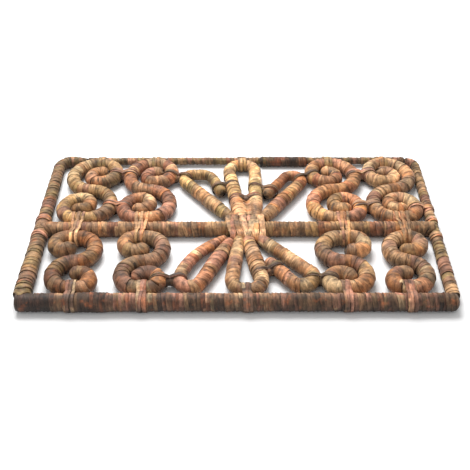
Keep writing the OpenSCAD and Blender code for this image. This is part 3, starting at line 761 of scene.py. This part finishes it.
def side_x(s, y):
    return s[0] - s[1] * side_r(s, y)


# ---- Materials ---------------------------------------------------------------------------
def nodes_of(name):
    mat = bpy.data.materials.new(name)
    mat.use_nodes = True
    tree = mat.node_tree
    return mat, tree, tree.nodes["Principled BSDF"]


def leaf_material(name, roughness=0.62, fibre=1.0, crease_shade=0.75):
    """Dried leaf: the strip's own colour with blotches and fine fibres along the strip, painted
    shade at the strips' edges and in the creases, painted shade and light by height, and bump from
    the same fibres."""
    mat, tree, shader = nodes_of(name)
    link, new = tree.links.new, tree.nodes.new

    def noise(coords, scale, detail, rough=0.6):
        n = new("ShaderNodeTexNoise")
        n.inputs["Scale"].default_value = scale
        n.inputs["Detail"].default_value = detail
        n.inputs["Roughness"].default_value = rough
        link(coords, n.inputs["Vector"])
        return n.outputs["Fac"]

    def ramp(source, lo, hi, a, b):
        r = new("ShaderNodeMapRange")
        for key, value in (("From Min", lo), ("From Max", hi), ("To Min", a), ("To Max", b)):
            r.inputs[key].default_value = value
        link(source, r.inputs["Value"])
        return r.outputs["Result"]

    def scaled(colour, factor):
        m = new("ShaderNodeVectorMath")
        m.operation = "SCALE"
        link(colour, m.inputs[0])
        link(factor, m.inputs["Scale"])
        return m.outputs["Vector"]

    def mixed(a, b, factor):
        m = new("ShaderNodeMix")
        m.data_type = "RGBA"
        link(factor, m.inputs["Factor"])
        link(a, m.inputs["A"])
        m.inputs["B"].default_value = (*b, 1)
        return m.outputs["Result"]

    place = new("ShaderNodeTexCoord").outputs["Object"]
    strip = new("ShaderNodeUVMap")
    strip.uv_map = "strip"
    stretch = new("ShaderNodeMapping")
    stretch.inputs["Scale"].default_value = (0.35, 9.0, 1.0)
    link(strip.outputs["UV"], stretch.inputs["Vector"])
    fibres = noise(stretch.outputs["Vector"], 1.6, 5, 0.65)
    coarse = new("ShaderNodeMapping")
    coarse.inputs["Scale"].default_value = (0.5, 2.2, 1.0)
    link(strip.outputs["UV"], coarse.inputs["Vector"])
    streaks = noise(coarse.outputs["Vector"], 1.3, 3, 0.5)
    blotches = noise(place, 75.0, 4)
    specks = noise(place, 420.0, 3)

    leaf = new("ShaderNodeAttribute")
    leaf.attribute_name = "leaf"
    lap = new("ShaderNodeAttribute")
    lap.attribute_name = "lap"

    # Each ramp takes a source from its low to its high value to a first and a last factor.
    colour = scaled(leaf.outputs["Color"], ramp(streaks, 0.3, 0.70, 0.48, 1.58))
    colour = scaled(colour, ramp(fibres, 0.3, 0.7, 1 - 0.38 * fibre, 1 + 0.36 * fibre))
    colour = mixed(colour, STAIN, ramp(blotches, 0.56, 0.74, 0.0, 0.60))
    colour = mixed(colour, MOULD, ramp(blotches, 0.44, 0.29, 0.0, 0.80))
    colour = scaled(colour, ramp(noise(place, 46.0, 2), 0.36, 0.64, 0.58, 1.38))
    colour = scaled(colour, ramp(specks, 0.35, 0.7, 0.82, 1.16))
    # Painted shade: the colour is darker where the lap value is low, at the strips' edges, in the
    # creases and under the strips.
    colour = scaled(colour, ramp(lap.outputs["Fac"], 0.2, 1.0, 1 - crease_shade, 1.0))
    # Painted shade and light: darker towards the floor and a little lighter at the tops of the
    # ropes.
    height = new("ShaderNodeSeparateXYZ")
    link(place, height.inputs["Vector"])
    colour = scaled(colour, ramp(height.outputs["Z"], 0.002, 0.024, 0.26, 1.12))
    link(colour, shader.inputs["Base Color"])
    link(ramp(fibres, 0.3, 0.7, roughness + 0.12, roughness - 0.12), shader.inputs["Roughness"])
    shader.inputs["Specular IOR Level"].default_value = 0.35
    shader.inputs["Sheen Weight"].default_value = 0.08

    rough = new("ShaderNodeBump")
    rough.inputs["Strength"].default_value = 0.7
    rough.inputs["Distance"].default_value = 0.0006
    link(fibres, rough.inputs["Height"])
    lumps = new("ShaderNodeBump")
    lumps.inputs["Strength"].default_value = 0.5
    lumps.inputs["Distance"].default_value = 0.0010
    link(streaks, lumps.inputs["Height"])
    link(rough.outputs["Normal"], lumps.inputs["Normal"])
    link(lumps.outputs["Normal"], shader.inputs["Normal"])
    return mat


LEAF = leaf_material("wound_leaf")
TIE_LEAF = leaf_material("tie_leaf", roughness=0.55, fibre=0.8, crease_shade=0.5)
DARK_LEAF = leaf_material("dark_leaf", roughness=0.7)
FIBRE = leaf_material("core_fibre", roughness=0.8, fibre=1.3)

# ---- The ropes ---------------------------------------------------------------------------
def bound_rope(name, rope, palette, seed, pitch, slot, **how):
    core(f"{name}_fibre", rope, seed + 500, (f"{name}_core",), FIBRE)
    wound(f"{name}_binding", rope, palette, seed, pitch, (f"{name}_wrap",), slot, LEAF, **how)


def against(centre, radius, gap=0.0):
    """How far past its nominal end a rope reaches to lie against a rope of that height and
    radius, at each height."""

    def f(z):
        return radius - np.sqrt(np.maximum(radius**2 - (z - centre) ** 2, 0.0)) + gap

    return f


def side_line(s, cone):
    back = BACK_FACE - s[3] - s[4]
    x0, x1 = side_x(s, SIDE_FRONT), side_x(s, back)
    length = math.hypot(x1 - x0, back - SIDE_FRONT)
    heading = math.degrees(math.atan2(back - SIDE_FRONT, x1 - x0))
    corner = s[4] * math.pi / 2
    moves = [(length, 0), (s[4], s[1] * 90 + (90 - heading))] + ([(cone, 0)] if cone else [])
    heights = [(0, s[2] + LIFT), (length, s[3] + LIFT), (length + corner, s[3] + LIFT),
               (length + corner + max(cone, 1), BACK_Z if cone else s[3] + LIFT)]
    radii = [(0, s[2]), (length, s[3]), (length + corner, s[3]),
             (length + corner + max(cone, 1), BACK_R + 0.5 if cone else s[3])]
    return Line((x0, SIDE_FRONT, heading), moves, heights), radii


mid_left = side_x(LEFT_SIDE, MID_Y) + side_r(LEFT_SIDE, MID_Y) + 0.3
mid_right = side_x(RIGHT_SIDE, MID_Y) - side_r(RIGHT_SIDE, MID_Y) - 0.3
back_left = LEFT_SIDE[0] + LEFT_SIDE[3] + LEFT_SIDE[4] + LEFT_CONE + 0.3
back_right = RIGHT_SIDE[0] - RIGHT_SIDE[3] - RIGHT_SIDE[4] - 0.3


def bar(x0, x1, y, z, r, start, end):
    return Rope(Line((x0, y, 0), [(x1 - x0, 0)], z), r, start, end)


front = bar(*FRONT_X, FRONT_Y, FRONT_Z, FRONT_R, ("round", 6.0), ("round", 11.0))
# Painted shade on the front side of the front bar, and painted light on its back side.
bound_rope("front_bar", front, "front", 11, 6.8, "front_wrap", run=(0.3, 1.3), tone=0.74,
           wear=(0.62, 1.7),
           patches=[(0, 62, DARK), (68, 100, UMBER), (470, 520, UMBER), (716, 740, UMBER)])
middle = bar(mid_left, mid_right, MID_Y, MID_Z, MID_R,
             ("butt", against(side_r(LEFT_SIDE, MID_Y) + LIFT, side_r(LEFT_SIDE, MID_Y))),
             ("butt", against(side_r(RIGHT_SIDE, MID_Y) + LIFT, side_r(RIGHT_SIDE, MID_Y))))
# Painted light on the back side of the middle bar.
bound_rope("middle_bar", middle, "middle", 12, 8.5, "frame_wrap", run=(0.5, 2.2), tone=0.72,
           wear=(0.95, 1.5))
back = bar(back_left, back_right, BACK_Y, BACK_Z, BACK_R, ("butt", None), ("butt", None))
bound_rope("back_bar", back, "back", 13, 7.0, "frame_wrap", run=(0.4, 1.8), tone=1.08, lie=0.7)

for name, s, cone, seed, tone in (("left_side", LEFT_SIDE, LEFT_CONE, 14, 0.64),
                                  ("right_side", RIGHT_SIDE, 0.0, 15, 1.04)):
    line, radii = side_line(s, cone)
    rope = Rope(line, radii, ("butt", against(FRONT_Z, FRONT_R)), ("butt", None))
    bound_rope(name, rope, "side", seed, 9.0, "frame_wrap", lie=0.8, tone=tone)

# Each scroll's palette, pitch of its turns and tone.
SCROLL_LOOKS = {
    "upper_scroll_1": ("golden", 12.5, 0.66), "upper_scroll_2": ("pink", 12.5, 0.79),
    "upper_scroll_3": ("orange", 12.5, 0.95), "upper_scroll_4": ("tan", 12.0, 0.77),
    "lower_scroll_1": ("orange", 11.5, 0.52), "lower_scroll_2": ("tan", 12.5, 0.53),
    "lower_scroll_3": ("tan", 12.5, 0.78), "lower_scroll_4": ("tan", 11.5, 0.67),
}
# Each row: its name, scrolls, span, the ropes' radius, the hooks' radius and the first seed.
ROWS = [("upper", UPPER_SCROLLS, UPPER_ROW, UPPER_R, UPPER_HOOK, 30),
        ("lower", LOWER_SCROLLS, LOWER_ROW, LOWER_R, LOWER_HOOK, 40)]
for row_name, scrolls, row, r, hook, seed in ROWS:
    for i, s in enumerate(scrolls):
        name = f"{row_name}_scroll_{i + 1}"
        palette, pitch, tone = SCROLL_LOOKS[name]
        rope = Rope(scroll_line(s, row, r, hook), r, ("round", r), ("round", r))
        bound_rope(name, rope, palette, seed + i, pitch, "scroll_wrap", lie=0.55, tone=tone)

# Each petal's palette and tone.
PETAL_LOOKS = {
    "upper_middle": ("golden", 1.14), "upper_left": ("olive", 1.18), "upper_right": ("orange", 1.0),
    "lower_middle": ("tan", 0.93), "lower_left": ("pink", 0.95), "lower_right": ("tan", 0.86),
}
# The colour of the upper middle petal's two roots.
ROOT_TONE = (0.43, 0.22, 0.11)


def root_share(d, taper):
    """How far a leg is drawn in at a distance d from its end."""
    return 1.0 if d >= taper else ROOT_RATIO + (1 - ROOT_RATIO) * d / taper


def petal_rope(name):
    """The petal's rope. Each end is a tapered root, or the round tip of a free end."""
    pose, moves, start, end = PETALS[name]
    more = ROOT_MORE[name]
    root = start + more[0]
    tip = end + more[1] if end else PETAL_R + TIP_MORE[name]
    first = along(pose, (1, 0), -root)
    line = Line(first, [(root, 0)] + moves + [(tip, 0)], pattern_z(PETAL_R))
    total = line.length
    end = tip if end else 0
    places = sorted({0, root, total / 4, total / 2, total * 3 / 4, total - end, total})
    fit = np.interp(places, np.linspace(0, total, 5), PETAL_RADII[name])
    radii = [(at, r * min(root_share(at, root), root_share(total - at, end)))
             for at, r in zip(places, fit)]
    return Rope(line, radii, ("round", ROOT_EDGE), ("round", ROOT_EDGE if end else PETAL_R))


for i, (name, (palette, tone)) in enumerate(PETAL_LOOKS.items()):
    rope = petal_rope(name)
    patches = []
    if name == "upper_middle":
        patches = [(0, 52, ROOT_TONE), (rope.length - 46, rope.length, ROOT_TONE)]
    bound_rope(f"{name}_petal", rope, palette, 60 + i, 11.0, "petal_wrap", lie=0.5, tone=tone,
               patches=patches)

# ---- The splices -------------------------------------------------------------------------
splice = bar(*FRONT_SPLICE_X, FRONT_Y, FRONT_Z, FRONT_R + SPLICE_T, ("round", 3.0), ("round", 3.0))
wound("front_splice_binding", splice, "splice", 71, 6.5, ("front_splice",), "splice_wrap",
      DARK_LEAF, lie=0.8, tone=0.6)
splice = bar(*BACK_SPLICE_X, BACK_SPLICE_Y, BACK_Z, BACK_SPLICE_R, ("round", 4.0), ("round", 4.0))
wound("back_splice_binding", splice, "splice", 72, 7.0, ("back_splice",), "splice_wrap",
      DARK_LEAF, lie=0.8, tone=0.75)

# ---- The lashings ------------------------------------------------------------------------
def bar_circle(z, r):
    return (0.0, z, r + 0.1)


def ties(name, seed, node, draw):
    piece = Piece()
    draw(piece, np.random.default_rng(seed))
    piece.make(name, TIE_LEAF, "lashing", node)


def back_ties(piece, rng):
    spots = [(contact_x(s, UPPER_ROW, UPPER_R, 1), UPPER_R) for s in UPPER_SCROLLS]
    for x, r in spots + [(petal_contact(PETALS["upper_middle"]), PETAL_R)]:
        lashing(piece, rng, (x, BACK_Y), 0,
                [bar_circle(BACK_Z, BACK_R), rope_circle(-BACK_R - GAP - r, r)], turns=3,
                span=15, palette="olive")


def middle_ties(piece, rng):
    for a, b in zip(UPPER_SCROLLS, LOWER_SCROLLS):
        x = (contact_x(a, UPPER_ROW, UPPER_R, -1) + contact_x(b, LOWER_ROW, LOWER_R, 1)) / 2
        lashing(piece, rng, (x, MID_Y), 0,
                [bar_circle(MID_Z, MID_R), rope_circle(MID_R + GAP + UPPER_R, UPPER_R),
                 rope_circle(-MID_R - GAP - LOWER_R, LOWER_R)],
                turns=4, span=19, tilt=3, palette="middle")


def front_ties(piece, rng):
    spots = [(contact_x(s, LOWER_ROW, LOWER_R, -1), LOWER_R) for s in LOWER_SCROLLS]
    for x, r in spots + [(petal_contact(PETALS["lower_middle"]), PETAL_R)]:
        lashing(piece, rng, (x, FRONT_Y), 0,
                [bar_circle(FRONT_Z, FRONT_R), rope_circle(FRONT_R + GAP + r, r)], turns=3,
                span=16, palette="front")


def pair_ties(piece, rng):
    for i in (0, 2):
        a, b = UPPER_SCROLLS[i], UPPER_SCROLLS[i + 1]
        for side in (1, -1):
            one, two = (inner_circle, outer_circle) if a[1] * side > 0 else (
                outer_circle, inner_circle)
            curl_lashing(piece, rng, one(a, UPPER_ROW, UPPER_R, side),
                         two(b, UPPER_ROW, UPPER_R, side), turns=3, span=12, palette="front")


def petal_ties(piece, rng):
    ul, ur = PETALS["upper_left"], PETALS["upper_right"]
    ll, lr = PETALS["lower_left"], PETALS["lower_right"]
    how = {"turns": 3, "span": 8, "tilt": 1.2, "palette": "splice"}
    curl_lashing(piece, rng, inner_circle(UPPER_SCROLLS[1], UPPER_ROW, UPPER_R, 1),
                 petal_circle(ul, 1), **how)
    curl_lashing(piece, rng, petal_circle(ur, 1),
                 inner_circle(UPPER_SCROLLS[2], UPPER_ROW, UPPER_R, 1), **how)
    curl_lashing(piece, rng, inner_circle(LOWER_SCROLLS[1], LOWER_ROW, LOWER_R, -1),
                 petal_circle(ll, 1), **how)
    curl_lashing(piece, rng, petal_circle(lr, 1),
                 inner_circle(LOWER_SCROLLS[2], LOWER_ROW, LOWER_R, -1), **how)
    for name in ("upper", "lower"):
        mid = PETALS[f"{name}_middle"]
        legs = {"left": mid[0], "right": pose_after(mid[0], mid[1][:-1])}
        for side, leg in legs.items():
            if (name, side) == ("lower", "left"):
                continue
            q = PETALS[f"{name}_{side}"]
            leg_lashing(piece, rng, along(pose_after(q[0], q[1]), (1, 0), -TIE_W), leg, **how)


# Strips over the middle of the flower: x, turn from straight across, width, palette.
FLOWER_STRIPS = [
    (-10, 8, 11, "tan"), (-3, -8, 12, "pink"), (4, 9, 12, "tan"), (11, -10, 12, "tan"),
    (18, 7, 12, "light"), (25, -10, 12, "tan"), (31, 8, 12, "pink"), (38, -6, 13, "tan"),
    (44, 6, 12, "pink"),
]
# How far their line stands out on each side of the middle bar, and how round it is there.
FLOWER_REACH, FLOWER_R = MID_R + PETAL_R * 0.75, 9.6
# Strips that fill the foot of the upper middle petal's slot: distance up its leg, and palette.
# They come out from between the legs, so far in from the middle of each.
SLOT_STRIPS = [(-24, "tan"), (-15, "pink"), (-6, "tan"), (3, "pink"), (12, "orange"), (20, "tan")]
SLOT_SUNK = 5.5


def flower(piece, rng):
    circles = [(0, MID_Z, MID_R), (FLOWER_REACH, pattern_z(PETAL_R), FLOWER_R),
               (-FLOWER_REACH, pattern_z(PETAL_R), FLOWER_R)]
    for i, (x, turn, width, palette) in enumerate(FLOWER_STRIPS):
        belt(piece, rng, (x, MID_Y), turn, circles, offset=0, tilt=3.5,
             phase=rng.uniform(0, 6), width=width, thick=1.5, lift=0.4 + 0.6 * (i % 3),
             palette=palette)
    q = PETALS["upper_middle"]
    other = pose_after(q[0], q[1][:-1])
    for d, palette in SLOT_STRIPS:
        leg_lashing(piece, rng, along(q[0], (1, 0), d), other, sunk=SLOT_SUNK, turns=2,
                    span=10, palette=palette)
    leg_lashing(piece, rng, along(q[0], (1, 0), ROOT_TIE), other,
                turns=3, span=10, palette="splice")


def side_ties(piece, rng):
    for s in (LEFT_SIDE, RIGHT_SIDE):
        for y in (MID_Y - MID_R - TIE_W, MID_Y + MID_R + TIE_W):
            lashing(piece, rng, (side_x(s, y), y), 90, [(0, side_r(s, y) + LIFT, side_r(s, y))],
                    turns=3, span=12, palette="pink")
    c = inner_circle(UPPER_SCROLLS[3], UPPER_ROW, UPPER_R, -1)
    edge, r = c[0] + c[2], side_r(RIGHT_SIDE, c[1])
    lashing(piece, rng, (edge, c[1]), -90,
            [rope_circle(0, UPPER_R), (side_x(RIGHT_SIDE, c[1]) - edge, r + LIFT, r)],
            turns=3, span=10, palette="tan")


ties("back_ties", 81, "back_bar_ties", back_ties)
ties("middle_ties", 82, "middle_bar_ties", middle_ties)
ties("front_ties", 83, "front_bar_ties", front_ties)
ties("pair_ties", 84, "scroll_pair_ties", pair_ties)
ties("petal_lashings", 85, "petal_ties", petal_ties)
ties("side_ties", 86, "side_rope_ties", side_ties)
ties("flower_strips", 87, "flower_lashing", flower)

# ---- Floor, light and camera -------------------------------------------------------------
scene = bpy.context.scene
bpy.ops.mesh.primitive_plane_add(size=12)
floor = bpy.context.object
floor.name = "floor"
pale, _, pale_shader = nodes_of("pale_floor")
pale_shader.inputs["Base Color"].default_value = (0.95, 0.95, 0.95, 1)
pale_shader.inputs["Roughness"].default_value = 0.9
floor.data.materials.append(pale)

world = bpy.data.worlds.new("studio")
world.use_nodes = True
world.node_tree.nodes["Background"].inputs["Color"].default_value = (1, 1, 1, 1)
world.node_tree.nodes["Background"].inputs["Strength"].default_value = 0.56
scene.world = world


def soft_light(name, power, size, place, target):
    lamp = bpy.data.lights.new(name, "AREA")
    lamp.energy, lamp.size = power, size
    obj = bpy.data.objects.new(name, lamp)
    obj.location = place
    obj.rotation_euler = (Vector(target) - Vector(place)).to_track_quat("-Z", "Y").to_euler()
    scene.collection.objects.link(obj)


soft_light("key", 54, 1.3, (-0.3, 1.0, 1.72), (0, 0, 0))
soft_light("fill", 4, 1.8, (-0.9, -1.2, 1.4), (0, 0, 0))
scene.view_settings.view_transform = "Standard"

LENS_MM, SENSOR_MM = 61.35, 36.0
CAMERA_AT = (0.006, -1.169, 0.939)
PITCH, YAW, ROLL = 39.09, 0.45, -0.37
lens = bpy.data.cameras.new("camera")
lens.lens, lens.sensor_width = LENS_MM, SENSOR_MM
camera = bpy.data.objects.new("camera", lens)
camera.matrix_world = (Matrix.Translation(CAMERA_AT) @ Matrix.Rotation(math.radians(YAW), 4, "Z")
                       @ Matrix.Rotation(math.radians(90 - PITCH), 4, "X")
                       @ Matrix.Rotation(math.radians(ROLL), 4, "Z"))
scene.collection.objects.link(camera)
scene.camera = camera
